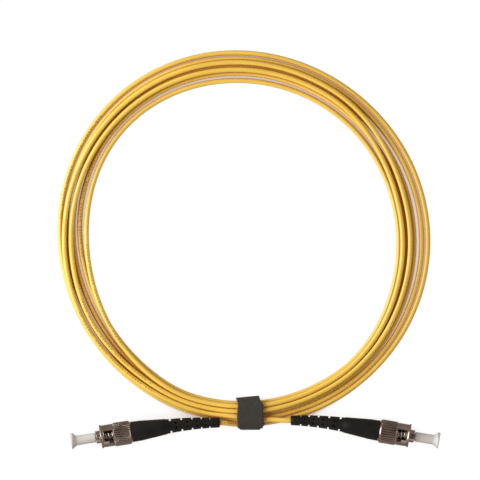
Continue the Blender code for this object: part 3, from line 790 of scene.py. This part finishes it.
def flap_edges(t):
    """Edges of the free end: rounded low left, a corner low right, and a slanted tab."""
    left = np.interp(t, [0.0, 0.10, 0.17, 0.24, 0.33, 0.50, 0.70, 0.78, 0.84, 1.0],
                     [1.6, 1.3, 0.75, 0.30, 0.08, -0.10, 0.10, 0.30, 0.20, -0.62])
    right = np.interp(t, [0.0, 0.10, 0.16, 0.22, 0.31, 0.36, 0.60, 0.78, 0.84, 0.90, 1.0],
                      [-1.6, -1.3, -1.1, -0.40, 0.80, 0.20, 0.0, 0.05, -0.35, -1.1, -1.75])
    return TIE_LEFT + float(left), TIE_RIGHT + float(right)


def slant_tab(flap):
    """Cut the tab at a slant, so that its inner edge rises towards the right."""
    start, length, rise = TIE_FAR - 1.2, 1.95, 0.95
    for v in flap.data.vertices:
        reach = max(0.0, (v.co.y / MM - start) / length)
        rightward = (v.co.x / MM - TIE_LEFT) / (TIE_RIGHT - TIE_LEFT) - 0.35
        v.co.y += rise * MM * reach * rightward


def build_flap():
    """Free end: up the outer side, over the top, and a tab past the inner edge."""
    h = FLAP_T / 2.0
    outside, over = TIE_NEAR - h - 0.02, TIE_TOP + FLAP_LIFT + h
    route = [(outside, 1.3), (outside, 4.0), (TIE_NEAR + 2.9, over), (TIE_FAR - 2.1, over),
             (TIE_FAR + 0.75, over - 0.75)]
    flap = strap("tie_free_end_strap", smooth_path(route, 1.2, False, 0.2), flap_edges, FLAP_T, False, 0.012)
    slant_tab(flap)
    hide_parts("tie_flap")
    mid_x = (TIE_LEFT + TIE_RIGHT) / 2.0 * MM
    low, high = (mid_x, (TIE_NEAR - 0.3) * MM, 2.4 * MM), (mid_x, (TIE_NEAR + 1.0) * MM, 5.2 * MM)
    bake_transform(flap)
    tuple(low)
    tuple(high)


def finish_hook_patch():
    """The hook patch keeps its CAD shape."""
    patch = frame["nodes"]["tie_hook_patch"]
    patch.data.materials.clear()
    patch.data.materials.append(HOOKS)


# ---------------------------------------------------------------- stage
def floor_material():
    """Pale floor, evenly bright to the camera but with painted shade in narrow gaps, that lights the object
    less than it shines.
    """
    g = Graph("floor_pale")
    seen = g.node("ShaderNodeLightPath").outputs["Is Camera Ray"]
    painted_shade_ao = g.node("ShaderNodeAmbientOcclusion", Distance=0.012, samples=8).outputs["AO"]
    # painted shade: tan in narrow gaps where the floor is hemmed in, white elsewhere
    paper_and_painted_shade = g.mix(g.ramp(painted_shade_ao, 0.28, 0.54), (0.52, 0.36, 0.26), (1.0, 1.0, 1.0))
    g.set(Base_Color=(0.0, 0.0, 0.0, 1.0), Roughness=1.0, Specular_IOR_Level=0.0,
          Emission_Color=g.mix(seen, (0.40, 0.35, 0.31), paper_and_painted_shade), Emission_Strength=1.02)
    # so large a lamp is found well enough by scattered rays, and with less grain than by aimed ones
    g.mat.cycles.emission_sampling = "NONE"
    return g.mat


def lay_floor():
    corners = [(x * FLOOR_HALF, y * FLOOR_HALF, 0.0) for x, y in ((-1, -1), (1, -1), (1, 1), (-1, 1))]
    mesh = bpy.data.meshes.new("floor")
    mesh.from_pydata(corners, [], [(0, 1, 2, 3)])
    mesh.materials.append(floor_material())
    floor = bpy.data.objects.new("floor", mesh)
    floor.location.z = -FLOOR_DROP
    bpy.context.scene.collection.objects.link(floor)


def hang_softbox():
    """Large soft key panel, low on the left, out of the camera's sight."""
    data = bpy.data.lights.new("softbox", "AREA")
    data.energy = KEY_POWER
    data.size = KEY_SIZE
    data.color = (1.0, 0.97, 0.90)
    softbox = bpy.data.objects.new("softbox", data)
    softbox.location = KEY_PLACE
    softbox.rotation_euler = (-softbox.location).to_track_quat("-Z", "Y").to_euler()
    softbox.visible_camera = False
    bpy.context.scene.collection.objects.link(softbox)


def studio_world():
    """Warm surround, dark overhead, with faint glows on the right and in front."""
    world = bpy.data.worlds.new("studio")
    world.use_nodes = True
    tree = world.node_tree
    direction = tree.nodes.new("ShaderNodeTexCoord").outputs["Generated"]

    def vector_math(operation):
        node = tree.nodes.new("ShaderNodeVectorMath")
        node.operation = operation
        return node

    def glow(towards, low, high, at_low, at_high, colour):
        """Colour whose brightness follows how closely a direction points towards a vector."""
        dot = vector_math("DOT_PRODUCT")
        dot.inputs[1].default_value = Vector(towards).normalized()
        tree.links.new(direction, dot.inputs[0])
        ramp = tree.nodes.new("ShaderNodeMapRange")
        ramp.interpolation_type = "SMOOTHSTEP"
        for key, value in (("From Min", low), ("From Max", high), ("To Min", at_low), ("To Max", at_high)):
            ramp.inputs[key].default_value = value
        tree.links.new(dot.outputs["Value"], ramp.inputs["Value"])
        tinted = vector_math("SCALE")
        tinted.inputs[0].default_value = colour
        tree.links.new(ramp.outputs["Result"], tinted.inputs["Scale"])
        return tinted.outputs[0]

    def add(a, b):
        total = vector_math("ADD")
        tree.links.new(a, total.inputs[0])
        tree.links.new(b, total.inputs[1])
        return total.outputs[0]

    surround = glow((0.0, 0.0, 1.0), 0.45, 0.92, SURROUND, OVERHEAD, (1.0, 0.82, 0.70))
    fill = glow((1.0, 0.0, 0.40), 0.86, 0.97, 0.0, FILL_GLOW, (1.0, 0.84, 0.72))
    front = glow((0.0, -1.0, 0.15), 0.80, 0.97, 0.0, FRONT_GLOW, (1.0, 0.93, 0.86))
    tree.links.new(add(surround, add(fill, front)), tree.nodes["Background"].inputs["Color"])
    bpy.context.scene.world = world


def place_camera():
    """Straight down from far away, so that the coil shows almost no perspective."""
    data = bpy.data.cameras.new("camera")
    data.lens = LENS
    half_view = math.atan(data.sensor_width / 2.0 / data.lens)
    camera = bpy.data.objects.new("camera", data)
    camera.location = (CAMERA_X, CAMERA_Y, COIL_HEIGHT + FRAME_WIDTH / 2.0 / math.tan(half_view))
    bpy.context.scene.collection.objects.link(camera)
    bpy.context.scene.camera = camera


build_cable()
for side in SIDES:
    build_connector(side)
build_band()
build_flap()
finish_hook_patch()
lay_floor()
hang_softbox()
studio_world()
place_camera()
bpy.context.scene.view_settings.view_transform = "Standard"
